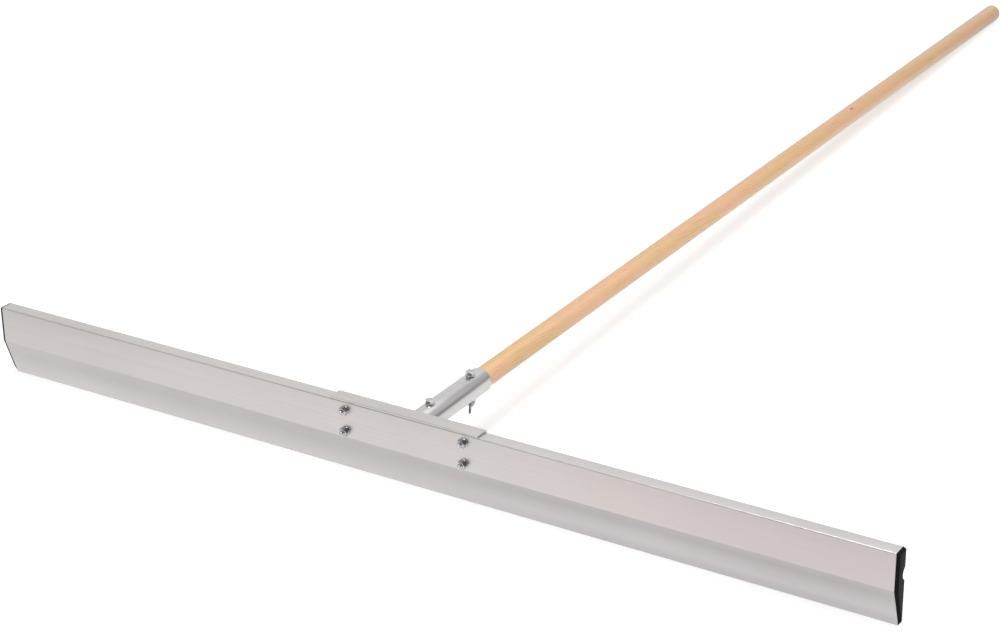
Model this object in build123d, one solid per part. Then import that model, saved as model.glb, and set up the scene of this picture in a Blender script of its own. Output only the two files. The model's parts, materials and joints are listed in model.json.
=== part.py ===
from build123d import *
import math
import os

# Screed board, in millimetres.
# Tool axes while modelling: X along the blade, Y from the blade towards the handle's free end, Z up.
# The tool origin is the middle of the foot's back edge. The last step leans the whole tool back
# until the handle's free end meets the ground that the foot stands on.

# Blade: a hollow extrusion with a bevelled lower front and a grip groove in its back
blade_length = 1200.0
blade_height = 94.5
blade_thickness = 18.0
bevel_height = 49.0
foot_width = 1.0
blade_wall = 1.6
web_thickness = 1.5
upper_web_drop = 19.5
blade_corner_radius = 1.0
bevel_line_radius = 2.0
groove_width = 14.0
groove_depth = 5.0
groove_drop = 30.2
groove_edge_radius = 0.8
narrowest_tip = 0.5
same_point = 0.001

# End caps: a bevelled plate with fins that push into the chambers of the blade
cap_thickness = 4.1
cap_setback = 0.2
cap_bevel = 1.2
cap_fin_depth = 18.0
cap_fin_wall = 1.8
cap_fin_gap = 0.15

# Bracket: bent sheet over the top and the back of the blade, bolted on a little left of its middle
bracket_offset = -2.2
bracket_length = 200.0
bracket_sheet = 2.5
bracket_bend_inside = 0.5
bracket_back_depth = 50.0
bracket_corner_radius = 6.0

# Socket tube, welded square to the bracket
socket_length = 145.5
socket_wall = 2.2
socket_gap = 0.2
socket_top_margin = 6.6
weld_leg = 2.2
weld_fullness = 1.12

# Handle: a turned pole with a slightly thinner spigot in the socket
handle_length = 1781.0
handle_diameter = 26.6
spigot_step = 0.3
spigot_length = 144.5
spigot_chamfer = 1.5
handle_end_radius = 11.0

# Metric fasteners of one thread size
thread_diameter = 6.0
hole_clearance = 0.3
thread_clearance = 0.05
head_across_flats = 10.0
head_height = 4.0
washer_diameter = 12.0
washer_thickness = 1.2
washer_hole_clearance = 0.2
nut_height = 5.0
lock_nut_hex_height = 4.4
lock_nut_height = 6.0
lock_nut_collar_diameter = 9.2
hex_turned_off_height = 0.4
thread_end_chamfer = 0.8

# Blade bolts, put in from behind, measured from the ends of the bracket and the top of the blade
bolt_end_margin = 19.7
bolt_row_spacing = 26.8
bolt_top_margin = 10.9
blade_bolt_proud = 3.0
blade_bolt_turns = {"upper_left": 12.0, "upper_right": 40.0, "lower_left": 27.0, "lower_right": 3.0}

# Handle bolts, measured from the back of the bracket, and the wing nut of the outer one
inner_bolt_reach = 36.4
outer_bolt_reach = 123.3
inner_bolt_proud = 3.1
outer_bolt_proud = 1.9
inner_bolt_turn = 8.0
outer_bolt_turn = 20.0
clamp_gap = 0.2
wing_hub_diameter = 11.6
wing_hub_end_diameter = 8.0
wing_hub_height = 7.0
wing_span = 28.0
wing_height = 14.0
wing_root_height = 1.5
wing_thickness = 2.6
wing_ear_width = 5.7
wing_tip_radius = 2.6
wing_root_inset = 2.0
wing_root_flare = 1.0
wing_saddle_drop = 0.5
wing_turn = 26.5

# Places that follow from the sizes above
front_face = -blade_thickness
bevel_angle = math.atan((blade_thickness - foot_width) / bevel_height)
upper_web_height = blade_height - upper_web_drop
groove_height = blade_height - groove_drop
bracket_back = bracket_sheet
spigot_radius = handle_diameter / 2 - spigot_step
socket_bore_radius = spigot_radius + socket_gap
socket_radius = socket_bore_radius + socket_wall
handle_axis_height = blade_height - socket_top_margin - socket_radius
socket_mouth = bracket_back + socket_length
handle_start = socket_mouth - spigot_length
handle_end = handle_start + handle_length
hole_radius = thread_diameter / 2 + hole_clearance
upper_bolt_height = blade_height - bolt_top_margin
lower_bolt_height = upper_bolt_height - bolt_row_spacing
blade_bolt_reach = bracket_length / 2 - bolt_end_margin
left_bolt_x = bracket_offset - blade_bolt_reach
right_bolt_x = bracket_offset + blade_bolt_reach
blade_bolt_places = {
    "upper_left": (left_bolt_x, upper_bolt_height),
    "upper_right": (right_bolt_x, upper_bolt_height),
    "lower_left": (left_bolt_x, lower_bolt_height),
    "lower_right": (right_bolt_x, lower_bolt_height),
}
inner_bolt_y = bracket_back + inner_bolt_reach
outer_bolt_y = bracket_back + outer_bolt_reach
tube_top = handle_axis_height + socket_radius
tube_bottom = handle_axis_height - socket_radius
blade_bolt_grip = blade_thickness + bracket_sheet + 2 * washer_thickness
blade_bolt_length = blade_bolt_grip + nut_height + blade_bolt_proud
handle_bolt_grip = 2 * socket_radius + 2 * washer_thickness
inner_bolt_length = handle_bolt_grip + lock_nut_height + inner_bolt_proud
outer_bolt_length = handle_bolt_grip + clamp_gap + wing_hub_height + outer_bolt_proud

# The lean that lays the rounded end of the handle on the ground
end_circle_y = handle_end - handle_end_radius
end_circle_height = handle_axis_height - (handle_diameter / 2 - handle_end_radius)
lean_angle = math.degrees(
    math.atan2(end_circle_height, end_circle_y)
    - math.asin(handle_end_radius / math.hypot(end_circle_height, end_circle_y))
)
lean = Rot(X=-lean_angle)

# On this plane sketch X is tool Y, sketch Y is tool Z, and extruding runs along the blade
blade_section = Plane(origin=(0, 0, 0), x_dir=(0, 1, 0), z_dir=(1, 0, 0))


def turned_to_y(shape):
    """Turn a shape that stands along +Z so that it points along +Y."""
    return Rot(X=-90) * shape


def standing_bar(radius, height):
    """A round bar from the ground up."""
    return Cylinder(radius, height, align=(Align.CENTER, Align.CENTER, Align.MIN))


def blade_outline(inset):
    """The blade's section drawn inwards by inset, as a face with tool Y and Z as its axes."""
    slope = math.tan(bevel_angle)
    side_loss = inset * (1 + 1 / math.cos(bevel_angle))
    foot = max(inset, (narrowest_tip - foot_width + side_loss) / slope)
    top = blade_height - inset
    back = -inset
    front = front_face + inset
    bevel_at_foot = back - (foot_width + foot * slope - side_loss)
    bevel_top = bevel_height - inset * math.tan(bevel_angle / 2)
    groove_radius = (groove_width**2 / 4 + groove_depth**2) / (2 * groove_depth)
    groove_centre = groove_radius - groove_depth
    arc_radius = groove_radius + inset
    half_mouth = math.sqrt(arc_radius**2 - (groove_centre + inset) ** 2)
    groove_top = groove_height + half_mouth
    groove_foot = groove_height - half_mouth
    lines = [
        Line((front, top), (back, top)),
        Line((back, top), (back, groove_top)),
        ThreePointArc((back, groove_top), (groove_centre - arc_radius, groove_height), (back, groove_foot)),
        Line((back, groove_foot), (back, foot)),
        Line((back, foot), (bevel_at_foot, foot)),
        Line((bevel_at_foot, foot), (front, bevel_top)),
        Line((front, bevel_top), (front, top)),
    ]
    return make_face(Curve() + lines)


def corners_at(face, places):
    """The corners of a flat face that lie at the given points."""
    return [v for v in face.vertices() for y, z in places if math.hypot(v.X - y, v.Y - z) < same_point]


def rounded_blade_outline():
    """The outer section with the radii that an extrusion die leaves on its edges."""
    face = blade_outline(0)
    groove_edges = [(0, groove_height + side * groove_width / 2) for side in (-1, 1)]
    top_edges = [(front_face, blade_height), (0, blade_height)]
    face = fillet(corners_at(face, top_edges), blade_corner_radius)
    face = fillet(corners_at(face, [(front_face, bevel_height)]), bevel_line_radius)
    return fillet(corners_at(face, groove_edges), groove_edge_radius)


def web_strips(thickness):
    """The two webs across the inside of the blade, as flat strips of the section."""
    strip = Rectangle(blade_thickness, thickness)
    heights = (upper_web_height, bevel_height)
    return [Pos(front_face / 2, height) * strip for height in heights]


def blade_section_face():
    """The extrusion's section: the outer skin and two webs around three chambers."""
    chambers = blade_outline(blade_wall) - web_strips(web_thickness)
    return rounded_blade_outline() - chambers


def along_blade(face, start, depth):
    """Extrude a section face along X from start by depth."""
    return extrude(blade_section * Pos(0, 0, start) * face, depth)


def cross_hole(x, z, start, depth, radius):
    """A round cutter along Y."""
    return Pos(x, start, z) * turned_to_y(standing_bar(radius, depth))


def blade():
    body = along_blade(blade_section_face(), -blade_length / 2, blade_length)
    for x, z in blade_bolt_places.values():
        body -= cross_hole(x, z, front_face, blade_thickness, hole_radius)
    return body


def end_cap(side):
    """One cap, on the right end for side 1 and on the left for side -1."""
    plate = loft(
        [
            blade_section * blade_outline(cap_setback),
            blade_section * Pos(0, 0, cap_thickness) * blade_outline(cap_setback + cap_bevel),
        ],
        ruled=True,
    )
    fin_outside = blade_outline(blade_wall + cap_fin_gap)
    fin_inside = blade_outline(blade_wall + cap_fin_gap + cap_fin_wall)
    fins = fin_outside - fin_inside - web_strips(web_thickness + 2 * cap_fin_gap)
    cap = plate + along_blade(fins, -cap_fin_depth, cap_fin_depth)
    cap = Pos(blade_length / 2, 0, 0) * cap
    return cap if side > 0 else mirror(cap, about=Plane.YZ)


def bracket():
    top = blade_height + bracket_sheet
    foot = blade_height - bracket_back_depth
    corners = [
        (front_face, top),
        (bracket_back, top),
        (bracket_back, foot),
        (0, foot),
        (0, blade_height),
        (front_face, blade_height),
    ]
    section = make_face(Polyline(*corners, close=True))
    section = fillet(corners_at(section, [(0, blade_height)]), bracket_bend_inside)
    section = fillet(corners_at(section, [(bracket_back, top)]), bracket_bend_inside + bracket_sheet)
    body = along_blade(section, bracket_offset - bracket_length / 2, bracket_length)
    lower_corners = body.edges().filter_by(Axis.Y).group_by(Axis.Z)[0]
    body = fillet(lower_corners, bracket_corner_radius)
    for x, z in blade_bolt_places.values():
        body -= cross_hole(x, z, 0, bracket_sheet, hole_radius)
    return body


def upright_hole(y, radius):
    """A cutter down through the socket and the handle."""
    return Pos(bracket_offset, y, tube_bottom) * standing_bar(radius, 2 * socket_radius)


def round_bar(radius, start, length):
    """A bar around the handle's axis."""
    return Pos(bracket_offset, start, handle_axis_height) * turned_to_y(standing_bar(radius, length))


def socket_tube():
    tube = round_bar(socket_radius, bracket_back, socket_length)
    tube -= round_bar(socket_bore_radius, bracket_back, socket_length)
    for y in (inner_bolt_y, outer_bolt_y):
        tube -= upright_hole(y, hole_radius)
    return tube


def socket_weld():
    """A fillet weld all round the foot of the tube, slightly domed."""
    outer = (socket_radius + weld_leg, 0)
    corner = (socket_radius, 0)
    crest = (socket_radius, weld_leg)
    bulge = weld_fullness * weld_leg / 2
    middle = (socket_radius + bulge, bulge)
    lines = [
        Line(corner, outer),
        ThreePointArc(outer, middle, crest),
        Line(crest, corner),
    ]
    ring = revolve(Plane.XZ * make_face(Curve() + lines), Axis.Z)
    return Pos(bracket_offset, bracket_back, handle_axis_height) * turned_to_y(ring)


def handle():
    spigot = round_bar(spigot_radius, handle_start, spigot_length)
    spigot = chamfer(spigot.edges().group_by(Axis.Y)[0], spigot_chamfer)
    pole = round_bar(handle_diameter / 2, socket_mouth, handle_length - spigot_length)
    pole = fillet(pole.edges().group_by(Axis.Y)[-1], handle_end_radius)
    body = spigot + pole
    for y in (inner_bolt_y, outer_bolt_y):
        body -= upright_hole(y, hole_radius)
    return body


def hexagon(across_flats, height):
    """A hexagonal prism from the ground up, its top corners turned off at a shallow angle."""
    corner_radius = across_flats / math.sqrt(3)
    prism = extrude(RegularPolygon(corner_radius, 6), height)
    turned_off = corner_radius - across_flats / 2
    blank = standing_bar(corner_radius, height)
    blank = chamfer(blank.edges().group_by(Axis.Z)[-1], hex_turned_off_height, turned_off)
    return prism & blank


def hex_bolt(length, turn):
    """A bolt with its head above the ground and its thread pointing down."""
    shank = Pos(0, 0, -length) * standing_bar(thread_diameter / 2, length)
    shank = chamfer(shank.edges().group_by(Axis.Z)[0], thread_end_chamfer)
    return Rot(Z=turn) * hexagon(head_across_flats, head_height) + shank


def washer():
    """A flat washer from the ground up."""
    hole = Circle(thread_diameter / 2 + washer_hole_clearance)
    return extrude(Circle(washer_diameter / 2) - hole, washer_thickness)


def hex_nut(turn):
    """A plain nut from the ground up."""
    bore = standing_bar(thread_diameter / 2 + thread_clearance, nut_height)
    return Rot(Z=turn) * (hexagon(head_across_flats, nut_height) - bore)


def lock_nut(turn):
    """A nut with a locking collar above its hexagon, from the ground up."""
    collar = standing_bar(lock_nut_collar_diameter / 2, lock_nut_height)
    collar = fillet(collar.edges().group_by(Axis.Z)[-1], (lock_nut_height - lock_nut_hex_height) / 2)
    body = hexagon(head_across_flats, lock_nut_hex_height) + collar
    bore = standing_bar(thread_diameter / 2 + thread_clearance, lock_nut_height)
    return Rot(Z=turn) * (body - bore)


def wing():
    """One ear of the wing nut, in the XZ plane, with the seat at the ground and the ear pointing up."""
    reach = wing_span / 2
    root = wing_root_inset
    corners = [
        (root, wing_root_height),
        (wing_hub_diameter / 2 + wing_root_flare, wing_root_height + wing_root_flare),
        (reach, wing_height - wing_ear_width),
        (reach, wing_height),
        (reach - wing_ear_width, wing_height),
        (root, wing_hub_height - wing_saddle_drop),
    ]
    outline = make_face(Polyline(*corners, close=True))
    outline = fillet(corners_at(outline, corners[2:5]), wing_tip_radius)
    return extrude(Plane.XZ * outline, wing_thickness / 2, both=True)


def wing_nut():
    """A wing nut with its seat on the ground and its wings pointing up."""
    half_foot = wing_hub_diameter / 2
    half_end = wing_hub_end_diameter / 2
    side = [
        (0, 0),
        (half_foot, 0),
        (half_foot, wing_root_height),
        (half_end, wing_hub_height),
        (0, wing_hub_height),
    ]
    hub = revolve(Plane.XZ * make_face(Polyline(*side, close=True)), Axis.Z)
    ears = wing() + Rot(Z=180) * wing()
    bore = standing_bar(thread_diameter / 2 + thread_clearance, wing_height)
    return hub + ears - bore


def blade_fasteners():
    """Bolt, two washers and nut at each of the four holes, with the nuts in front."""
    pieces = {}
    nut_seat = front_face - washer_thickness
    head_seat = bracket_back + washer_thickness
    turned_to_front = Rot(X=90)
    for place, (x, z) in blade_bolt_places.items():
        turn = blade_bolt_turns[place]
        bolt = turned_to_y(hex_bolt(blade_bolt_length, turn))
        pieces["blade_bolt_" + place] = Pos(x, head_seat, z) * bolt
        pieces["back_washer_" + place] = Pos(x, bracket_back, z) * turned_to_y(washer())
        pieces["front_washer_" + place] = Pos(x, nut_seat, z) * turned_to_y(washer())
        pieces["blade_nut_" + place] = Pos(x, nut_seat, z) * turned_to_front * hex_nut(turn)
    return pieces


def handle_fasteners():
    """Both cross bolts of the handle, the inner with a lock nut and the outer with a wing nut."""
    turned_down = Rot(X=180)
    head_seat = tube_top + washer_thickness
    washer_foot = tube_bottom - washer_thickness
    clamp_foot = washer_foot - clamp_gap
    inner = Pos(bracket_offset, inner_bolt_y, 0)
    outer = Pos(bracket_offset, outer_bolt_y, 0)
    return {
        "inner_handle_bolt": inner * Pos(0, 0, head_seat) * hex_bolt(inner_bolt_length, inner_bolt_turn),
        "inner_head_washer": inner * Pos(0, 0, tube_top) * washer(),
        "inner_bolt_washer": inner * Pos(0, 0, washer_foot) * washer(),
        "inner_bolt_nut": inner * Pos(0, 0, washer_foot) * turned_down * lock_nut(inner_bolt_turn),
        "outer_handle_bolt": outer * Pos(0, 0, head_seat) * hex_bolt(outer_bolt_length, outer_bolt_turn),
        "outer_head_washer": outer * Pos(0, 0, tube_top) * washer(),
        "clamp_washer": outer * Pos(0, 0, clamp_foot) * washer(),
        "wing_nut": outer * Pos(0, 0, clamp_foot) * turned_down * Rot(Z=90 - wing_turn) * wing_nut(),
    }


pieces = {
    "blade": blade(),
    "end_cap_left": end_cap(-1),
    "end_cap_right": end_cap(1),
    "bracket": bracket(),
    "socket_tube": socket_tube(),
    "socket_weld": socket_weld(),
    "handle": handle(),
}
pieces.update(blade_fasteners())
pieces.update(handle_fasteners())

os.makedirs("parts", exist_ok=True)
for name, shape in pieces.items():
    export_step(lean * shape, f"parts/{name}.step")

print(f"lean {lean_angle:.4f} degrees")
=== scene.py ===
"""Dresses the screed board: round-edged pieces, procedural finishes, and a plain white studio."""

import json
import math

import bmesh
import bpy
from mathutils import Matrix, Vector


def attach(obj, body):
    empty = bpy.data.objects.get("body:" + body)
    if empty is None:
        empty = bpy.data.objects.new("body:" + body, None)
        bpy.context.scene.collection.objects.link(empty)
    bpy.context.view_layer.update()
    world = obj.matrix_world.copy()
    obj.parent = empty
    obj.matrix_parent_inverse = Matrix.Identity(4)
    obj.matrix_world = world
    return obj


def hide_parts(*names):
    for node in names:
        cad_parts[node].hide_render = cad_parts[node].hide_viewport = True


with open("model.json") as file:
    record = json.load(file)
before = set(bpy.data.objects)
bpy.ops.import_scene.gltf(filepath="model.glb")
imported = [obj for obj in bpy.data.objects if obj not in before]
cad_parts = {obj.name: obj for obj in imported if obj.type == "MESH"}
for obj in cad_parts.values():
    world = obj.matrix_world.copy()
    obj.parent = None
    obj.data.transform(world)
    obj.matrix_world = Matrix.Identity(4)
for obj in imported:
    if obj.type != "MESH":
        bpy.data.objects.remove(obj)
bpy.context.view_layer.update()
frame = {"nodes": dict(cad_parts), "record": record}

# Lengths are in metres, in upright tool axes: X along the blade, Y from the blade towards the
# handle's free end, Z up. What the frame holds is read from it.
MM = 0.001
SAME_POINT = 0.001 * MM
SHAFT = next(mount for mount in frame["record"]["mounts"] if mount["name"] == "handle_shaft")
LEAN_ANGLE = math.atan2(SHAFT["axis"][2], SHAFT["axis"][1])
LEAN = Matrix.Rotation(LEAN_ANGLE, 4, "X")
UPRIGHT = (-LEAN_ANGLE, 0, 0)
SMOOTH_BELOW = math.radians(38)


def tool_box(node):
    """Lowest and highest corner of a CAD node in upright tool axes."""
    upright = LEAN.inverted()
    points = [upright @ vert.co for vert in frame["nodes"][node].data.vertices]
    low, high = (Vector([pick(point[i] for point in points) for i in range(3)]) for pick in (min, max))
    return low, high


BLADE_LOW, BLADE_HIGH = tool_box("blade")
BLADE_EDGE_RADIUS = 1.4 * MM
BEVEL_HEIGHT = 49 * MM
BEVEL_LINE_RADIUS = 2.0 * MM
FOOT_WIDTH = 1.0 * MM
FOOT_EDGE_RADIUS = 0.3 * MM
GROOVE_BELOW_TOP = 30.2 * MM
GROOVE_HEIGHT = BLADE_HIGH.z - GROOVE_BELOW_TOP
GROOVE_WIDTH = 14 * MM
GROOVE_DEPTH = 5 * MM
GROOVE_EDGE_RADIUS = 0.8 * MM
GROOVE_STEPS = 16

CAP_SETBACK = 0.2 * MM
CAP_BEVEL = 1.2 * MM
CAP_EDGE_RADIUS = 0.5 * MM
CAP_NARROWEST_FOOT = 0.5 * MM

BRACKET_LOW, BRACKET_HIGH = tool_box("bracket")
BRACKET_SHEET = BRACKET_HIGH.z - BLADE_HIGH.z
BRACKET_CORNER = 6 * MM
BEND_INSIDE = 0.5 * MM
SHEET_EDGE_RADIUS = 0.7 * MM

TUBE_LOW, TUBE_HIGH = tool_box("socket_tube")
TUBE_RADIUS = (TUBE_HIGH.x - TUBE_LOW.x) / 2
TUBE_WALL = 2.2 * MM
TUBE_EDGE_RADIUS = 0.35 * MM
TUBE_STEPS = 96
AXIS_X = (TUBE_HIGH.x + TUBE_LOW.x) / 2
AXIS_HEIGHT = (TUBE_HIGH.z + TUBE_LOW.z) / 2

WELD_LEG = 2.2 * MM
WELD_RIPPLES = 42
WELD_RIPPLE_STEPS = 6
WELD_RIPPLE_DEPTH = 0.16

HANDLE_LOW, HANDLE_HIGH = tool_box("handle")
HANDLE_RADIUS = (HANDLE_HIGH.x - HANDLE_LOW.x) / 2
HANDLE_END_RADIUS = 11 * MM
HANDLE_SHOULDER = 0.6 * MM
HANDLE_STEPS = 72
SPIGOT_STEP = 0.3 * MM
SPIGOT_RADIUS = HANDLE_RADIUS - SPIGOT_STEP

THREAD_RADIUS = 3 * MM
THREAD_PITCH = 1 * MM
THREAD_DEPTH = 0.61 * MM
THREAD_LENGTH = 20 * MM
THREAD_STEPS = 24
TIP_CHAMFER = 0.8 * MM
THREAD_CLEARANCE = 0.05 * MM
BORE_RADIUS = THREAD_RADIUS + THREAD_CLEARANCE
SHANK_STEPS = 32
TURNED_STEPS = 48

HEAD_FLATS = 10 * MM
HEAD_HEIGHT = 4 * MM
CROWN_RADIUS = 0.475 * HEAD_FLATS
CROWN_SLOPE = math.radians(30)
STEPS_PER_FLAT = 8

WASHER_RADIUS = 6 * MM
WASHER_CLEARANCE = 0.2 * MM
WASHER_HOLE_RADIUS = THREAD_RADIUS + WASHER_CLEARANCE
WASHER_THICKNESS = 1.2 * MM
WASHER_EDGE_RADIUS = 0.25 * MM

NUT_HEIGHT = 5 * MM
NUT_COUNTERSINK = 0.5 * MM

LOCK_NUT_HEX_HEIGHT = 4.4 * MM
LOCK_NUT_HEIGHT = 6 * MM
LOCK_COLLAR_RADIUS = 4.6 * MM
LOCK_COLLAR_SINK = 1 * MM
LOCK_RING_INSET = 0.3 * MM

HUB_RADIUS = 5.8 * MM
HUB_END_RADIUS = 4 * MM
HUB_HEIGHT = 7 * MM
HUB_WAIST = 1.5 * MM
HUB_EDGE_RADIUS = 0.4 * MM
WING_REACH = 14 * MM
WING_HEIGHT = 13.2 * MM
WING_WIDTH = 5.7 * MM
WING_THICKNESS = 2.6 * MM
WING_ROOT = 3.2 * MM
WING_ROOT_SINK = 0.5 * MM
WING_FLARE = 1 * MM
WING_TIP_RADIUS = 2.6 * MM
WING_EDGE_RADIUS = 0.45 * MM

# How far the fasteners are turned about their own axes, in degrees. Blade bolts have a head and a nut.
BLADE_BOLT_TURNS = {
    "upper_left": (12, 12),
    "upper_right": (40, 7),
    "lower_left": (27, 9),
    "lower_right": (3, 3),
}
HANDLE_BOLT_TURNS = {"inner": 8, "outer": 20}
LOCK_NUT_TURN = 8
WING_NUT_TURN = 63.5

# How a shape that was modelled pointing up is turned to point another way.
POINTING = {
    "front": Matrix.Rotation(math.pi / 2, 4, "X"),
    "back": Matrix.Rotation(-math.pi / 2, 4, "X"),
    "up": Matrix.Identity(4),
    "down": Matrix.Rotation(math.pi, 4, "X"),
}


class Value:
    """A number that changes over a surface. Arithmetic on it adds Math nodes to its finish."""

    def __init__(self, finish, socket):
        self.finish = finish
        self.socket = socket

    def joined(self, operation, first, second):
        return self.finish.node("ShaderNodeMath", {"operation": operation}, {0: first, 1: second})

    def __add__(self, other):
        return self.joined("ADD", self, other)

    def __sub__(self, other):
        return self.joined("SUBTRACT", self, other)

    def __rsub__(self, other):
        return self.joined("SUBTRACT", other, self)

    def __mul__(self, other):
        return self.joined("MULTIPLY", self, other)

    def __truediv__(self, other):
        return self.joined("DIVIDE", self, other)

    def __rtruediv__(self, other):
        return self.joined("DIVIDE", other, self)

    __radd__ = __add__
    __rmul__ = __mul__


class Finish:
    """A material or world whose nodes are added one by one."""

    def __init__(self, owner):
        self.owner = owner
        owner.use_nodes = True
        self.tree = owner.node_tree

    def node(self, kind, settings=None, inputs=None, output=0):
        """Add a node of this kind, set it up, feed its sockets, and give back one of its outputs."""
        node = self.tree.nodes.new(kind)
        for name, value in (settings or {}).items():
            setattr(node, name, value)
        for name, value in (inputs or {}).items():
            self.feed(node.inputs[name], value)
        return Value(self, node.outputs[output])

    def feed(self, socket, value):
        """Link a value to a socket, or set the socket to a number, a vector or a colour."""
        if isinstance(value, Value):
            self.tree.links.new(value.socket, socket)
        elif socket.type == "RGBA" and len(value) == 3:
            socket.default_value = (*value, 1.0)
        else:
            socket.default_value = value

    def surface(self, **inputs):
        """Feed the Principled shader. An input's name has its spaces as underscores."""
        shader = self.tree.nodes["Principled BSDF"]
        for name, value in inputs.items():
            self.feed(shader.inputs[name.replace("_", " ")], value)

    def place(self, scale, turn=(0, 0, 0), shift=(0, 0, 0)):
        """Object coordinates, turned, shifted and scaled. For a noise, scale is in cycles per metre."""
        here = self.node("ShaderNodeTexCoord", output="Object")
        moves = {"Vector": here, "Rotation": turn, "Location": shift}
        turned = self.node("ShaderNodeMapping", inputs=moves)
        return self.node("ShaderNodeMapping", inputs={"Vector": turned, "Scale": scale})

    def axes(self, where):
        """The X, Y and Z of a place or a direction, as three values."""
        return [self.node("ShaderNodeSeparateXYZ", inputs={0: where}, output=axis) for axis in "XYZ"]

    def ray(self, kind):
        """1 for rays of this kind, such as Is Camera Ray, and 0 for all others."""
        return self.node("ShaderNodeLightPath", output=kind)

    def noise(self, where, detail=2.0, rough=0.5):
        inputs = {"Vector": where, "Scale": 1.0, "Detail": detail, "Roughness": rough}
        return self.node("ShaderNodeTexNoise", inputs=inputs)

    def between(self, value, low, high):
        """0 where value is under low, 1 where it is over high, and smooth between them."""
        settings = {"interpolation_type": "SMOOTHSTEP"}
        inputs = {"Value": value, "From Min": low, "From Max": high}
        return self.node("ShaderNodeMapRange", settings, inputs)

    def length(self, where):
        """How far a place is from the origin of its coordinates."""
        return self.node("ShaderNodeVectorMath", {"operation": "LENGTH"}, {0: where}, "Value")

    def mix(self, share, first, second):
        """Colour first where share is 0 and second where it is 1."""
        inputs = {"Factor": share, 6: first, 7: second}
        return self.node("ShaderNodeMix", {"data_type": "RGBA"}, inputs, output=2)

    def bump(self, height, depth, strength):
        inputs = {"Height": height, "Distance": depth, "Strength": strength}
        return self.node("ShaderNodeBump", inputs=inputs, output="Normal")


def finish(slot, name=None):
    """A new material for one of the record's slots, named after the slot unless two share it."""
    material = bpy.data.materials.new((name or slot) + "_finish")
    material["slot"] = slot
    return Finish(material)


def grey(level):
    return (level, level, level)


# Linear colours of the finishes.
BLADE_PALE = (0.69, 0.664, 0.643)
BLADE_DARK = (0.585, 0.559, 0.543)
BLADE_PINK = (0.65, 0.549, 0.549)
BLADE_COOL = (0.637, 0.610, 0.680)
# The dark colour that the blade's painted shade mixes in.
BLADE_PAINTED_SHADE = (0, 0, 0.05)
SHEET_PALE = (0.641, 0.613, 0.603)
SHEET_DARK = (0.550, 0.525, 0.515)
TUBE_PALE = (0.66, 0.648, 0.643)
TUBE_DARK = (0.51, 0.50, 0.50)
WELD_CLEAN = (0.60, 0.60, 0.60)
WELD_STAINED = (0.42, 0.41, 0.40)
ZINC_DULL = (0.48, 0.49, 0.52)
ZINC_BRIGHT = (0.60, 0.60, 0.60)
# Zinc for the cast wing nut, darker than the plated parts: partly its duller cast metal, partly painted
# shade for its place under the tube.
CAST_SHADED_DULL = (0.27, 0.275, 0.28)
CAST_SHADED_BRIGHT = (0.40, 0.40, 0.405)
PLASTIC_CLEAN = (0.004, 0.004, 0.004)
PLASTIC_DUSTY = (0.009, 0.008, 0.008)
WOOD_PINKISH = (0.780, 0.438, 0.243)
WOOD_YELLOWISH = (0.738, 0.466, 0.205)
WOOD_LATE = (0.650, 0.375, 0.175)
WOOD_PORE = (0.50, 0.26, 0.12)
WOOD_FAR_END = (0.64, 0.17, 0.01)
WOOD_KNOT = (0.24, 0.08, 0.045)

# Where one side of the blade gives way to the next, across it or up it.
BACK_EDGE = (-0.8 * MM, -0.2 * MM)
TOP_EDGE = (BLADE_HIGH.z - 1 * MM, BLADE_HIGH.z - 0.3 * MM)
BEVEL_EDGE = (BEVEL_HEIGHT - 1 * MM, BEVEL_HEIGHT + 1 * MM)

# Where the blade's painted shade and its tints set in and where they are full, along it or up it,
# and how strong they are.
LEFT_END = (250 * MM, 550 * MM)
RIGHT_END = (180 * MM, 500 * MM)
RIGHT_SIDE = (-50 * MM, 300 * MM)
PINK_SIDE = (50 * MM, 350 * MM)
BEVEL_RISE = (0, 38 * MM)
BEVEL_FOOT = (2 * MM, 19 * MM)
BEVEL_TOP = (25 * MM, 40 * MM)
COOL_FOOT = (18 * MM, 40 * MM)
# Strengths of the painted shade at the blade's ends.
LEFT_END_PAINTED_SHADE = 0.09
RIGHT_END_PAINTED_SHADE = 0.07
# Strengths of the painted shade on the bevel.
BEVEL_RISE_PAINTED_SHADE = 0.19
BEVEL_FOOT_PAINTED_SHADE = 0.16
BEVEL_TOP_PAINTED_SHADE = 0.085
PINK_TINT = 0.5
PINK_LEFT_SHARE = 0.3
COOL_TINT = 0.22

# The drawn metal's grain, in cycles per metre along X, Y and Z.
BLADE_GRAIN = (1.3, 420, 420)
SHEET_GRAIN = (6, 500, 500)
TUBE_GRAIN = (520, 3, 520)
CLOUD_GRAIN = (5, 9, 9)
SPOT_GRAIN = (160, 160, 160)
FINE_LINES = 4

# The wood: the slope of its grain, the heart of its tree beside and below the pole, and a pin knot.
GRAIN_RUNOUT = (0.072 - LEAN_ANGLE, 0, 0.069)
HEART_BESIDE = 39 * MM
HEART_BELOW = 40 * MM
LAYER_WIDTH = 3.6 * MM
LAYER_DRIFT = 2.2
FAR_END = (0.6, 1.5)
FAR_END_TINT = 0.19
PIN_KNOT = (2.7 * MM, 1195 * MM, 84.9 * MM)
KNOT_EDGE = (0.4 * MM, 3.0 * MM)
KNOT_SQUEEZE = (1, 0.4, 1)
KNOT_TINT = 0.9


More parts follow.
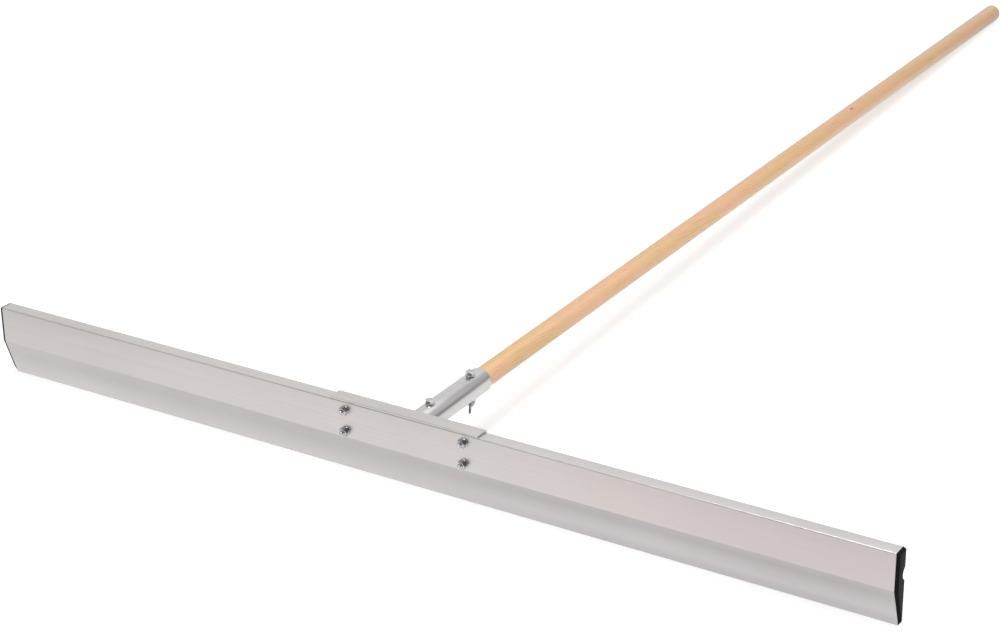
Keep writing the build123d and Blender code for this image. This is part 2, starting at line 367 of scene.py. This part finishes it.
def blade_painted_shade_and_tints(made, colour):
    """The blade's colour with painted shade at the ends and on the bevel, pink in front, cool at the foot.
    """
    along, across, height = made.axes(made.place((1, 1, 1), UPRIGHT))
    outside = 1 - made.between(across, *BACK_EDGE)
    face = outside * (1 - made.between(height, *TOP_EDGE))
    bevel = outside * (1 - made.between(height, *BEVEL_EDGE))
    flat = face * (1 - bevel)
    top = outside - face
    right = made.between(along, *RIGHT_SIDE)
    # Painted shade: the blade darkens towards both of its ends.
    ends = LEFT_END_PAINTED_SHADE * (1 - bevel) * made.between(0 - along, *LEFT_END)
    ends += RIGHT_END_PAINTED_SHADE * flat * made.between(along, *RIGHT_END)
    # Painted shade on the bevel: it grows up the bevel, and on its right half it also falls at the foot
    # and near the top.
    rise = BEVEL_RISE_PAINTED_SHADE * made.between(height, *BEVEL_RISE)
    foot = BEVEL_FOOT_PAINTED_SHADE * (1 - made.between(height, *BEVEL_FOOT))
    foot += BEVEL_TOP_PAINTED_SHADE * made.between(height, *BEVEL_TOP)
    # All the blade's painted shade, at its ends and on its bevel.
    painted_shade = outside * ends + bevel * (rise + right * foot)
    pink = PINK_TINT * flat * (PINK_LEFT_SHARE + (1 - PINK_LEFT_SHARE) * made.between(along, *PINK_SIDE))
    cool = COOL_TINT * (bevel * (1 - made.between(height, *COOL_FOOT)) + top * right)
    tinted = made.mix(cool, made.mix(pink, colour, BLADE_PINK), BLADE_COOL)
    return made.mix(painted_shade, tinted, BLADE_PAINTED_SHADE)


def drawn_aluminium(slot, pale, dark, grain, roughness, shade_and_tints=None):
    """Mill-finish aluminium with fine lines along the axis on which its grain has the fewest cycles."""
    made = finish(slot)
    lines = made.noise(made.place(grain, UPRIGHT), detail=3, rough=0.65)
    fine = made.noise(made.place([FINE_LINES * cycles for cycles in grain], UPRIGHT), detail=2, rough=0.6)
    clouds = made.noise(made.place(CLOUD_GRAIN, UPRIGHT), detail=4, rough=0.55)
    spots = made.between(made.noise(made.place(SPOT_GRAIN, UPRIGHT), detail=3), 0.66, 0.74)
    tone = made.between(0.28 * lines + 0.17 * fine + 0.55 * clouds, 0.3, 0.7)
    colour = made.mix(tone, dark, pale)
    made.surface(
        # The blade's colour gets its painted shade and tints here.
        Base_Color=shade_and_tints(made, colour) if shade_and_tints else colour,
        Metallic=1.0,
        Roughness=roughness + 0.06 * (lines - 0.5) + 0.16 * (clouds - 0.5) + 0.05 * spots,
        Normal=made.bump(lines + 0.4 * fine, depth=0.02 * MM, strength=0.3),
    )
    return made.owner


def weld_metal():
    made = finish("weld_metal")
    grain = made.noise(made.place((900, 900, 900)), detail=4, rough=0.6)
    stain = made.between(made.noise(made.place((120, 120, 120)), detail=2), 0.4, 0.7)
    made.surface(
        Base_Color=made.mix(stain, WELD_CLEAN, WELD_STAINED),
        Metallic=1.0,
        Roughness=0.34 + 0.2 * grain,
        Normal=made.bump(grain, depth=0.05 * MM, strength=0.6),
    )
    return made.owner


def zinc_plate(name, dull, bright, roughness):
    made = finish("zinc_plate", name)
    haze = made.noise(made.place((300, 300, 300)), detail=3, rough=0.6)
    grain = made.noise(made.place((2500, 2500, 2500)), detail=2)
    made.surface(
        Base_Color=made.mix(made.between(haze, 0.35, 0.65), dull, bright),
        Metallic=1.0,
        Roughness=roughness + 0.14 * haze,
        Normal=made.bump(grain, depth=0.01 * MM, strength=0.4),
    )
    return made.owner


def black_plastic():
    made = finish("black_plastic")
    grain = made.noise(made.place((1400, 1400, 1400)), detail=3, rough=0.6)
    dust = made.between(made.noise(made.place((60, 60, 60)), detail=5, rough=0.7), 0.5, 0.8)
    made.surface(
        Base_Color=made.mix(dust, PLASTIC_CLEAN, PLASTIC_DUSTY),
        Roughness=0.5 + 0.12 * grain + 0.1 * dust,
        Specular_IOR_Level=0.10,
        Normal=made.bump(grain, depth=0.06 * MM, strength=0.5),
    )
    return made.owner


def ash_wood():
    """Pale wood: growth layers that run out along the pole, pores, a pin knot and a thin oil finish."""
    made = finish("ash_wood")
    drift = made.noise(made.place((9, 1.6, 9), UPRIGHT), detail=2)
    patch = made.noise(made.place((30, 11, 30), UPRIGHT, (0.31, 0.2, 0.1)), detail=3, rough=0.55)
    streak = made.noise(made.place((330, 9, 330), GRAIN_RUNOUT), detail=4, rough=0.62)
    pores = made.noise(made.place((850, 20, 850), GRAIN_RUNOUT), detail=3, rough=0.6)

    to_heart = (-HEART_BESIDE - AXIS_X, 0, HEART_BELOW - AXIS_HEIGHT)
    from_heart = made.length(made.place((1, 0, 1), GRAIN_RUNOUT, to_heart))
    layers = from_heart / LAYER_WIDTH + LAYER_DRIFT * drift
    layer = made.node("ShaderNodeMath", {"operation": "FRACT"}, {0: layers})
    late = made.between(layer, 0.40, 0.92) * (1 - made.between(layer, 0.92, 1.0))
    tone = made.between(0.55 * late * made.between(patch, 0.35, 0.60) + 1.25 * (streak - 0.5), 0.0, 0.75)
    pore = made.between(pores, 0.56, 0.68)
    early_colour = made.mix(made.between(patch, 0.35, 0.65), WOOD_PINKISH, WOOD_YELLOWISH)
    colour = made.mix(0.5 * pore, made.mix(tone, early_colour, WOOD_LATE), WOOD_PORE)

    along = made.axes(made.place((1, 1, 1), UPRIGHT))[1]
    colour = made.mix(FAR_END_TINT * made.between(along, *FAR_END), colour, WOOD_FAR_END)
    from_knot = made.length(made.place(KNOT_SQUEEZE, UPRIGHT, [-place for place in PIN_KNOT]))
    knot = 1 - made.between(from_knot, *KNOT_EDGE)
    made.surface(
        Base_Color=made.mix(KNOT_TINT * knot, colour, WOOD_KNOT),
        Roughness=0.48 + 0.1 * streak + 0.1 * pore,
        Coat_Weight=1.0,
        Coat_Roughness=0.3,
        Sheen_Weight=0.6,
        Sheen_Roughness=0.4,
        Normal=made.bump(streak - 0.6 * pore, depth=0.04 * MM, strength=0.4),
    )
    return made.owner


# The blade's aluminium carries painted shade at its ends and on its bevel.
BLADE_ALUMINIUM = drawn_aluminium("blade_aluminium", BLADE_PALE, BLADE_DARK, BLADE_GRAIN, 0.36, blade_painted_shade_and_tints)
SHEET_ALUMINIUM = drawn_aluminium("sheet_aluminium", SHEET_PALE, SHEET_DARK, SHEET_GRAIN, 0.34)
TUBE_ALUMINIUM = drawn_aluminium("tube_aluminium", TUBE_PALE, TUBE_DARK, TUBE_GRAIN, 0.29)
WELD_METAL = weld_metal()
ZINC_PLATE = zinc_plate("zinc_plate", ZINC_DULL, ZINC_BRIGHT, 0.16)
# Darker zinc for the wing nut, partly painted shade for its place under the tube.
CAST_SHADED_ZINC = zinc_plate("cast_zinc", CAST_SHADED_DULL, CAST_SHADED_BRIGHT, 0.22)
BLACK_PLASTIC = black_plastic()
ASH_WOOD = ash_wood()


def shown(name, data):
    """A new object in the scene."""
    made = bpy.data.objects.new(name, data)
    bpy.context.scene.collection.objects.link(made)
    return made


def mesh_data(name, mesh):
    """Mesh data of a finished shape, which is let go."""
    data = bpy.data.meshes.new(name)
    mesh.to_mesh(data)
    mesh.free()
    return data


def piece(name, mesh, material, stands_for, body="board"):
    """Lean a shape that was modelled in tool axes, make it an object, and hang it on its body."""
    mesh.transform(LEAN)
    data = mesh_data(name, mesh)
    data.shade_smooth()
    data.set_sharp_from_angle(angle=SMOOTH_BELOW)
    data.materials.append(material)
    made = shown(name, data)
    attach(made, body)
    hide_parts(stands_for)


def outward(mesh):
    """Turn the faces of one closed shell outwards."""
    bmesh.ops.recalc_face_normals(mesh, faces=mesh.faces)
    if mesh.calc_volume(signed=True) < 0:
        bmesh.ops.reverse_faces(mesh, faces=mesh.faces)
    return mesh


def hard_edges(mesh, sharper_than):
    """The edges at which the surface turns by more than an angle in degrees."""
    return [edge for edge in mesh.edges if edge.calc_face_angle(0) > math.radians(sharper_than)]


def edges_at(mesh, **places):
    """The edges whose two ends both lie at the given coordinates, such as y=0, z=0."""

    def lies_there(vert):
        return all(abs(getattr(vert.co, axis) - place) < SAME_POINT for axis, place in places.items())

    return [edge for edge in mesh.edges if all(lies_there(vert) for vert in edge.verts)]


def round_off(mesh, edges, radius, segments=3):
    bmesh.ops.bevel(
        mesh, geom=edges, offset=radius, affect="EDGES", segments=segments, profile=0.5, material=-1,
        clamp_overlap=True,
    )


def turned(profile, steps, closed=False):
    """A shape turned on a lathe about Z. The profile's points are (radius, height)."""
    mesh = bmesh.new()
    verts = [mesh.verts.new((radius, 0, height)) for radius, height in profile]
    pairs = list(zip(verts, verts[1:])) + ([(verts[-1], verts[0])] if closed else [])
    edges = [mesh.edges.new(pair) for pair in pairs]
    bmesh.ops.spin(
        mesh, geom=verts + edges, cent=(0, 0, 0), axis=(0, 0, 1), angle=math.tau, steps=steps,
        use_merge=True,
    )
    bmesh.ops.remove_doubles(mesh, verts=mesh.verts, dist=SAME_POINT)
    return outward(mesh)


def quarter(centre_radius, centre_height, radius, steps):
    """Profile points of a quarter circle, from its outermost point to its highest."""
    angles = [math.radians(90 * step / steps) for step in range(steps + 1)]
    return [(centre_radius + radius * math.cos(a), centre_height + radius * math.sin(a)) for a in angles]


def extruded(outline, path):
    """A solid made by drawing a flat outline along a straight path."""
    mesh = bmesh.new()
    section = mesh.faces.new([mesh.verts.new(point) for point in outline])
    swept = bmesh.ops.extrude_face_region(mesh, geom=[section], use_keep_orig=True)["geom"]
    far_end = [part for part in swept if isinstance(part, bmesh.types.BMVert)]
    bmesh.ops.translate(mesh, verts=far_end, vec=path)
    return outward(mesh)


def lifted(mesh, face):
    """Extrude a face, and give back the new one, which still lies on the old one's place."""
    swept = bmesh.ops.extrude_face_region(mesh, geom=[face, *face.edges])["geom"]
    return next(part for part in swept if isinstance(part, bmesh.types.BMFace))


def added(mesh, other):
    """Put the shells of another shape into this one."""
    spare = mesh_data("spare", other)
    mesh.from_mesh(spare)
    bpy.data.meshes.remove(spare)
    return mesh


def blade_outline(mesh, inset, x):
    """The blade's section as a closed loop of edges at x, drawn inwards by inset."""
    bevel_angle = math.atan((BLADE_HIGH.y - BLADE_LOW.y - FOOT_WIDTH) / BEVEL_HEIGHT)
    side_loss = inset * (1 + 1 / math.cos(bevel_angle))
    back = BLADE_HIGH.y - inset
    front = BLADE_LOW.y + inset
    top = BLADE_HIGH.z - inset
    foot = max(inset, (CAP_NARROWEST_FOOT - FOOT_WIDTH + side_loss) / math.tan(bevel_angle))
    foot_front = back - (FOOT_WIDTH + foot * math.tan(bevel_angle) - side_loss)
    bevel_top = BEVEL_HEIGHT - inset * math.tan(bevel_angle / 2)
    radius = (GROOVE_WIDTH**2 / 4 + GROOVE_DEPTH**2) / (2 * GROOVE_DEPTH)
    centre = BLADE_HIGH.y + radius - GROOVE_DEPTH
    radius += inset
    half = math.asin(math.sqrt(radius**2 - (centre - back) ** 2) / radius)
    corners = [(front, bevel_top), (front, top), (back, top)]
    for step in range(GROOVE_STEPS + 1):
        angle = half - 2 * half * step / GROOVE_STEPS
        corners.append((centre - radius * math.cos(angle), GROOVE_HEIGHT + radius * math.sin(angle)))
    corners += [(back, foot), (foot_front, foot)]
    verts = [mesh.verts.new((x, y, z)) for y, z in corners]
    return [mesh.edges.new(pair) for pair in zip(verts, verts[1:] + verts[:1])]


def bridged_outlines(outlines):
    """A closed solid through blade outlines, given as (inset, x)."""
    mesh = bmesh.new()
    loops = [blade_outline(mesh, inset, x) for inset, x in outlines]
    for loop, following in zip(loops, loops[1:]):
        bmesh.ops.bridge_loops(mesh, edges=loop + following)
    for loop in (loops[0], loops[-1]):
        bmesh.ops.contextual_create(mesh, geom=loop)
    return outward(mesh)


def blade():
    """The extrusion, as a closed bar with the groove along its back."""
    mesh = bridged_outlines([(0, BLADE_LOW.x), (0, BLADE_HIGH.x)])
    roundings = [
        (BLADE_LOW.y, BLADE_HIGH.z, BLADE_EDGE_RADIUS, 4),
        (BLADE_HIGH.y, BLADE_HIGH.z, BLADE_EDGE_RADIUS, 4),
        (BLADE_LOW.y, BEVEL_HEIGHT, BEVEL_LINE_RADIUS, 6),
        (BLADE_HIGH.y, GROOVE_HEIGHT - GROOVE_WIDTH / 2, GROOVE_EDGE_RADIUS, 3),
        (BLADE_HIGH.y, GROOVE_HEIGHT + GROOVE_WIDTH / 2, GROOVE_EDGE_RADIUS, 3),
        (BLADE_HIGH.y, BLADE_LOW.z, FOOT_EDGE_RADIUS, 2),
        (BLADE_HIGH.y - FOOT_WIDTH, BLADE_LOW.z, FOOT_EDGE_RADIUS, 2),
    ]
    for y, z, radius, segments in roundings:
        round_off(mesh, edges_at(mesh, y=y, z=z), radius, segments)
    piece("blade_extrusion", mesh, BLADE_ALUMINIUM, "blade")


def end_cap(node, side):
    """The moulded head of a cap, at the left end for side -1 and at the right end for side 1."""
    low, high = tool_box(node)
    near, far = (BLADE_HIGH.x, high.x) if side > 0 else (BLADE_LOW.x, low.x)
    mesh = bridged_outlines([(CAP_SETBACK, near), (CAP_SETBACK + CAP_BEVEL, far)])
    round_off(mesh, edges_at(mesh, x=far), CAP_EDGE_RADIUS)
    piece(node + "_moulding", mesh, BLACK_PLASTIC, node)


def bracket():
    """The bent sheet over the top of the blade and down its back."""
    corners = [
        (BRACKET_LOW.y, BRACKET_HIGH.z), (BRACKET_HIGH.y, BRACKET_HIGH.z),
        (BRACKET_HIGH.y, BRACKET_LOW.z), (BLADE_HIGH.y, BRACKET_LOW.z),
        (BLADE_HIGH.y, BLADE_HIGH.z), (BRACKET_LOW.y, BLADE_HIGH.z),
    ]
    length = BRACKET_HIGH.x - BRACKET_LOW.x
    mesh = extruded([(BRACKET_LOW.x, y, z) for y, z in corners], (length, 0, 0))
    round_off(mesh, edges_at(mesh, y=BLADE_HIGH.y, z=BLADE_HIGH.z), BEND_INSIDE, 4)
    round_off(mesh, edges_at(mesh, y=BRACKET_HIGH.y, z=BRACKET_HIGH.z), BEND_INSIDE + BRACKET_SHEET, 8)
    for x in (BRACKET_LOW.x, BRACKET_HIGH.x):
        round_off(mesh, edges_at(mesh, x=x, z=BRACKET_LOW.z), BRACKET_CORNER, 10)
    round_off(mesh, hard_edges(mesh, sharper_than=60), SHEET_EDGE_RADIUS)
    piece("bracket_sheet", mesh, SHEET_ALUMINIUM, "bracket")


def along_handle(mesh, start):
    """Lay a shape that stands on Z along the handle's axis, from start."""
    mesh.transform(Matrix.Translation((AXIS_X, start, AXIS_HEIGHT)) @ POINTING["back"])
    return mesh


def socket_tube():
    length = TUBE_HIGH.y - TUBE_LOW.y
    bore = TUBE_RADIUS - TUBE_WALL
    wall = [(bore, 0), (TUBE_RADIUS, 0), (TUBE_RADIUS, length), (bore, length)]
    mesh = turned(wall, TUBE_STEPS, closed=True)
    round_off(mesh, hard_edges(mesh, sharper_than=60), TUBE_EDGE_RADIUS)
    piece("socket_drawn_tube", along_handle(mesh, TUBE_LOW.y), TUBE_ALUMINIUM, "socket_tube")


def weld_bead():
    """A ring of overlapping ripples round the foot of the tube."""
    bulge = quarter(TUBE_RADIUS, 0, WELD_LEG, steps=8)
    mesh = turned([(TUBE_RADIUS, 0), *bulge], WELD_RIPPLE_STEPS * WELD_RIPPLES, closed=True)
    for vert in mesh.verts:
        angle = math.atan2(vert.co.y, vert.co.x)
        swell = 1 - WELD_RIPPLE_DEPTH * abs(math.sin(angle * WELD_RIPPLES / 2)) ** 3
        root = Vector((math.cos(angle), math.sin(angle), 0)) * TUBE_RADIUS
        vert.co = root + (vert.co - root) * swell
    piece("weld_bead", along_handle(mesh, BRACKET_HIGH.y), WELD_METAL, "socket_weld")


def handle():
    """The pole, with a thinner spigot in the socket and a rounded free end."""
    shoulder = TUBE_HIGH.y - HANDLE_LOW.y
    length = HANDLE_HIGH.y - HANDLE_LOW.y
    end_centre = (HANDLE_RADIUS - HANDLE_END_RADIUS, length - HANDLE_END_RADIUS)
    end = quarter(*end_centre, HANDLE_END_RADIUS, steps=12)
    profile = [
        (0, 0),
        (SPIGOT_RADIUS, 0),
        (SPIGOT_RADIUS, shoulder),
        (HANDLE_RADIUS, shoulder + HANDLE_SHOULDER),
        *end,
        (0, length),
    ]
    piece("turned_handle", along_handle(turned(profile, HANDLE_STEPS), HANDLE_LOW.y), ASH_WOOD, "handle")


def hexagon(height):
    """A hexagon from the ground up, its upper corners turned off by a cone."""
    mesh = bmesh.new()
    bmesh.ops.create_circle(mesh, cap_ends=True, radius=HEAD_FLATS / 2, segments=6 * STEPS_PER_FLAT)
    for vert in mesh.verts:
        off_corner = math.atan2(vert.co.y, vert.co.x) % math.radians(60) - math.radians(30)
        vert.co /= math.cos(off_corner)
    mesh.faces.ensure_lookup_table()
    flank_top = lifted(mesh, mesh.faces[0])
    for vert in flank_top.verts:
        vert.co.z = height - (vert.co.xy.length - CROWN_RADIUS) * math.tan(CROWN_SLOPE)
    for vert in lifted(mesh, flank_top).verts:
        vert.co.xy *= CROWN_RADIUS / vert.co.xy.length
        vert.co.z = height
    return outward(mesh)


def screw_thread(length):
    """A threaded bar from the ground up, its tip turned off. Its ridge is drawn in shares of the pitch."""
    core = THREAD_RADIUS - THREAD_DEPTH
    ridge = [(core, 0), (core, 0.12), (THREAD_RADIUS, 0.45), (THREAD_RADIUS, 0.57), (core, 1)]
    turns = math.ceil(length / THREAD_PITCH) + 2
    mesh = bmesh.new()
    verts = [mesh.verts.new((radius, 0, (share - 1) * THREAD_PITCH)) for radius, share in ridge]
    edges = [mesh.edges.new(pair) for pair in zip(verts, verts[1:])]
    bmesh.ops.spin(
        mesh, geom=verts + edges, cent=(0, 0, 0), axis=(0, 0, 1), dvec=(0, 0, THREAD_PITCH / THREAD_STEPS),
        angle=math.tau * turns, steps=THREAD_STEPS * turns, use_merge=False,
    )
    bmesh.ops.remove_doubles(mesh, verts=mesh.verts, dist=10 * SAME_POINT)
    for height, keep_above in ((0, True), (length, False)):
        bmesh.ops.bisect_plane(
            mesh, geom=mesh.verts[:] + mesh.edges[:] + mesh.faces[:], plane_co=(0, 0, height),
            plane_no=(0, 0, 1), clear_inner=keep_above, clear_outer=not keep_above,
        )
    for vert in mesh.verts:
        limit = THREAD_RADIUS - TIP_CHAMFER + (length - vert.co.z)
        radius = math.hypot(vert.co.x, vert.co.y)
        if radius > limit:
            vert.co.xy *= limit / radius
    bmesh.ops.holes_fill(mesh, edges=[edge for edge in mesh.edges if edge.is_boundary])
    return outward(mesh)


def hex_bolt(length):
    """A bolt with its head above the ground and its thread pointing down."""
    mesh = hexagon(HEAD_HEIGHT)
    plain = max(length - THREAD_LENGTH, 0)
    if plain:
        shank = [(0, -plain), (THREAD_RADIUS, -plain), (THREAD_RADIUS, 0), (0, 0)]
        added(mesh, turned(shank, SHANK_STEPS))
    thread = screw_thread(min(length, THREAD_LENGTH))
    thread.transform(Matrix.Translation((0, 0, -plain)) @ POINTING["down"])
    return added(mesh, thread)


def washer():
    section = [
        (WASHER_HOLE_RADIUS, 0), (WASHER_RADIUS, 0),
        (WASHER_RADIUS, WASHER_THICKNESS), (WASHER_HOLE_RADIUS, WASHER_THICKNESS),
    ]
    mesh = turned(section, TURNED_STEPS, closed=True)
    round_off(mesh, hard_edges(mesh, sharper_than=60), WASHER_EDGE_RADIUS)
    return mesh


def hex_nut(height=NUT_HEIGHT):
    """A plain nut from the ground up, its bore countersunk at the outer face."""
    mesh = hexagon(height)
    base, crown = (pick(mesh.faces, key=lambda face: face.calc_center_median().z) for pick in (min, max))
    bmesh.ops.inset_region(mesh, faces=[crown], thickness=CROWN_RADIUS - BORE_RADIUS - NUT_COUNTERSINK)
    for depth in (NUT_COUNTERSINK, height):
        crown = lifted(mesh, crown)
        for vert in crown.verts:
            vert.co.xy *= BORE_RADIUS / vert.co.xy.length
            vert.co.z = height - depth
    rims = list(base.edges) + list(crown.edges)
    bmesh.ops.delete(mesh, geom=[base, crown], context="FACES_ONLY")
    bmesh.ops.bridge_loops(mesh, edges=rims)
    return outward(mesh)


def lock_nut():
    """A nut with a rolled collar over its locking ring, from the ground up."""
    mesh = hex_nut(LOCK_NUT_HEX_HEIGHT)
    foot = LOCK_NUT_HEX_HEIGHT - LOCK_COLLAR_SINK
    top = LOCK_NUT_HEIGHT
    roll_radius = (LOCK_NUT_HEIGHT - LOCK_NUT_HEX_HEIGHT) / 2
    roll = quarter(LOCK_COLLAR_RADIUS - roll_radius, top - roll_radius, roll_radius, steps=6)
    ring_radius = LOCK_COLLAR_RADIUS - roll_radius - LOCK_RING_INSET
    ring_top = top - LOCK_RING_INSET
    inside = [(ring_radius, top), (ring_radius, ring_top), (BORE_RADIUS, ring_top)]
    collar = [(BORE_RADIUS, foot), (LOCK_COLLAR_RADIUS, foot), *roll, *inside]
    return added(mesh, turned(collar, TURNED_STEPS, closed=True))


def wing_nut():
    """A wing nut with its seat on the ground and its ears pointing up."""
    hub = [
        (BORE_RADIUS, 0), (HUB_RADIUS, 0), (HUB_RADIUS, HUB_WAIST),
        (HUB_END_RADIUS, HUB_HEIGHT), (BORE_RADIUS, HUB_HEIGHT),
    ]
    mesh = turned(hub, TURNED_STEPS, closed=True)
    round_off(mesh, hard_edges(mesh, sharper_than=40), HUB_EDGE_RADIUS)
    outline = [
        (WING_ROOT, HUB_WAIST),
        (HUB_RADIUS + WING_FLARE, HUB_WAIST + WING_FLARE),
        (WING_REACH, WING_HEIGHT - WING_WIDTH),
        (WING_REACH, WING_HEIGHT),
        (WING_REACH - WING_WIDTH, WING_HEIGHT),
        (WING_ROOT, HUB_HEIGHT - WING_ROOT_SINK),
    ]
    for side in (-1, 1):
        near_face = [(side * x, -WING_THICKNESS / 2, z) for x, z in outline]
        ear = extruded(near_face, (0, WING_THICKNESS, 0))
        across = [e for e in ear.edges if abs(e.verts[0].co.y - e.verts[1].co.y) > WING_THICKNESS / 2]
        tips = [e for e in across if abs(e.verts[0].co.x) > WING_REACH - WING_WIDTH - SAME_POINT]
        round_off(ear, tips, WING_TIP_RADIUS, 8)
        round_off(ear, hard_edges(ear, sharper_than=40), WING_EDGE_RADIUS)
        added(mesh, ear)
    return mesh


def fit(node, mesh, direction, seat, turn=0.0, body="board", material=ZINC_PLATE):
    """Put a fastener where its CAD node is, with its ground at seat and pointing in a direction."""
    low, high = tool_box(node)
    place = (low + high) / 2
    if direction in ("front", "back"):
        place.y = seat
    else:
        place.z = seat
    about_axis = Matrix.Rotation(math.radians(turn), 4, "Z")
    mesh.transform(Matrix.Translation(place) @ POINTING[direction] @ about_axis)
    piece(node + "_plated", mesh, material, node, body)


def blade_fasteners():
    """The four bolts that hold the bracket to the blade, heads behind and nuts in front."""
    for place, (head_turn, nut_turn) in BLADE_BOLT_TURNS.items():
        low, high = tool_box("blade_bolt_" + place)
        head_seat = high.y - HEAD_HEIGHT
        nut_seat = BLADE_LOW.y - WASHER_THICKNESS
        fit("blade_bolt_" + place, hex_bolt(head_seat - low.y), "back", head_seat, head_turn)
        fit("back_washer_" + place, washer(), "back", BRACKET_HIGH.y)
        fit("front_washer_" + place, washer(), "front", BLADE_LOW.y)
        fit("blade_nut_" + place, hex_nut(), "front", nut_seat, nut_turn)


def handle_fasteners():
    """The two bolts down through the tube and the pole: the inner has a lock nut, the outer a wing nut."""
    for which, turn in HANDLE_BOLT_TURNS.items():
        low, high = tool_box(which + "_handle_bolt")
        head_seat = high.z - HEAD_HEIGHT
        fit(which + "_handle_bolt", hex_bolt(head_seat - low.z), "up", head_seat, turn)
        fit(which + "_head_washer", washer(), "up", TUBE_HIGH.z)
    lock_nut_seat = TUBE_LOW.z - WASHER_THICKNESS
    clamp_seat = tool_box("clamp_washer")[1].z
    wing_nut_seat = tool_box("wing_nut")[1].z
    fit("inner_bolt_washer", washer(), "down", TUBE_LOW.z)
    fit("inner_bolt_nut", lock_nut(), "down", lock_nut_seat, LOCK_NUT_TURN)
    fit("clamp_washer", washer(), "down", clamp_seat, body="clamp_washer")
    # The wing nut's darker zinc is partly painted shade.
    fit("wing_nut", wing_nut(), "down", wing_nut_seat, WING_NUT_TURN, "wing_nut", CAST_SHADED_ZINC)


# The floor is white paper near the tool and plain white beyond it. Its edge is a distance from the origin.
FLOOR_REACH = 40
PAPER_EDGE = (1.2, 2.4)
PAPER = grey(0.90)
PAPER_SEEN = grey(0.68)
PAPER_MIRRORED = grey(0.30)
BEYOND = grey(0.14)
PAPER_SEEN_GLOW = grey(0.50)
BEYOND_SEEN_GLOW = grey(0.95)
PAPER_MIRRORED_GLOW = grey(0.80)
NO_GLOW = grey(0)

# What metal mirrors: a white sheet behind the tool, greyer right of its middle and with a dark gap
# low on the right, in a dim room with a bright wall on the left. The other light comes from all
# round, most from the right.
SHEET_TONE = 0.95
SHEET_SHADE = 0.42
SHEET_FAR_RIGHT = 0.22
GAP_SHADE = 0.72
ROOM_TONE = 0.11
LEFT_WALL_TONE = 0.68
AMBIENT_TONE = 0.50
AMBIENT_SLOPE = 0.35

# Each lamp's place, its width, and its power in watts.
LAMPS = {
    "key": ((0.0, -1.3, 2.4), 0.85, 27),
    "top": ((0.6, 0.8, 3.4), 3.6, 48),
}
LAMP_TARGET = Vector((0, 0.4, 0))

# The camera's place in upright tool axes, its angles in degrees, and its lens and sensor in millimetres.
CAMERA_PLACE = Vector((1.43381, -2.11939, 1.38411))
CAMERA_TURN = 31.834
CAMERA_PITCH = 24.605
CAMERA_ROLL = -0.673
CAMERA_LENS = 90.696
CAMERA_SENSOR = 36


def paper_floor():
    """A white floor that keeps a soft shadow of the tool."""
    mesh = bmesh.new()
    bmesh.ops.create_grid(mesh, x_segments=1, y_segments=1, size=FLOOR_REACH)
    data = mesh_data("floor", mesh)
    shown("floor", data)
    paper = Finish(bpy.data.materials.new("floor_paper"))
    seen = paper.ray("Is Camera Ray")
    mirrored = paper.ray("Is Glossy Ray")
    near = 1 - paper.between(paper.length(paper.place((1, 1, 0))), *PAPER_EDGE)
    near_colour = paper.mix(mirrored, paper.mix(seen, PAPER, PAPER_SEEN), PAPER_MIRRORED)
    seen_glow = paper.mix(near, BEYOND_SEEN_GLOW, PAPER_SEEN_GLOW)
    other_glow = paper.mix(near * mirrored, NO_GLOW, PAPER_MIRRORED_GLOW)
    paper.surface(
        Base_Color=paper.mix(near, BEYOND, near_colour),
        Roughness=1.0,
        Specular_IOR_Level=0.0,
        Emission_Color=paper.mix(seen, other_glow, seen_glow),
        Emission_Strength=1.0,
    )
    data.materials.append(paper.owner)


def surroundings():
    """White to the camera, soft light on the tool, and a sheet in a dim room where metal mirrors it."""
    world = bpy.data.worlds.new("studio")
    bpy.context.scene.world = world
    around = Finish(world)
    seen = around.ray("Is Camera Ray")
    glossy = around.ray("Is Glossy Ray")
    east, north, up = around.axes(around.node("ShaderNodeTexCoord", output="Generated"))
    behind = around.between(north, 0.1, 0.5)
    right = around.between(east, -0.05, 0.2)
    far_right = around.between(east, 0.30, 0.45)
    sheet = SHEET_TONE - SHEET_SHADE * right + SHEET_FAR_RIGHT * far_right
    gap = (1 - around.between(up, 0.10, 0.30)) * around.between(east, 0.15, 0.45)
    left_wall = around.between(0 - east, 0.40, 0.55) * around.between(up, -0.05, 0.10)
    room = ROOM_TONE + LEFT_WALL_TONE * left_wall
    mirrored = room + behind * (sheet * (1 - GAP_SHADE * gap) - room)
    ambient = AMBIENT_TONE + AMBIENT_SLOPE * east
    background = around.tree.nodes["Background"]
    around.feed(background.inputs["Color"], grey(1))
    unseen = glossy * mirrored + (1 - glossy) * ambient
    around.feed(background.inputs["Strength"], seen + (1 - seen) * unseen)


def lamps():
    for name, (place, width, power) in LAMPS.items():
        data = bpy.data.lights.new(name, "AREA")
        data.size = width
        data.energy = power
        made = shown(name, data)
        made.location = place
        made.rotation_euler = (LAMP_TARGET - Vector(place)).to_track_quat("-Z", "Y").to_euler()


def camera():
    """The photograph's viewpoint, in upright tool axes and then leaned with the tool."""
    turn, pitch, roll = (math.radians(angle) for angle in (CAMERA_TURN, CAMERA_PITCH, CAMERA_ROLL))
    level = Matrix.Rotation(turn, 4, "Z") @ Matrix.Rotation(math.pi / 2 - pitch, 4, "X")
    data = bpy.data.cameras.new("camera")
    data.sensor_width = CAMERA_SENSOR
    data.lens = CAMERA_LENS
    made = shown("camera", data)
    made.matrix_world = LEAN @ Matrix.Translation(CAMERA_PLACE) @ (level @ Matrix.Rotation(roll, 4, "Z"))
    bpy.context.scene.camera = made


blade()
end_cap("end_cap_left", -1)
end_cap("end_cap_right", 1)
bracket()
socket_tube()
weld_bead()
handle()
blade_fasteners()
handle_fasteners()
paper_floor()
surroundings()
lamps()
camera()
bpy.context.scene.view_settings.view_transform = "Standard"
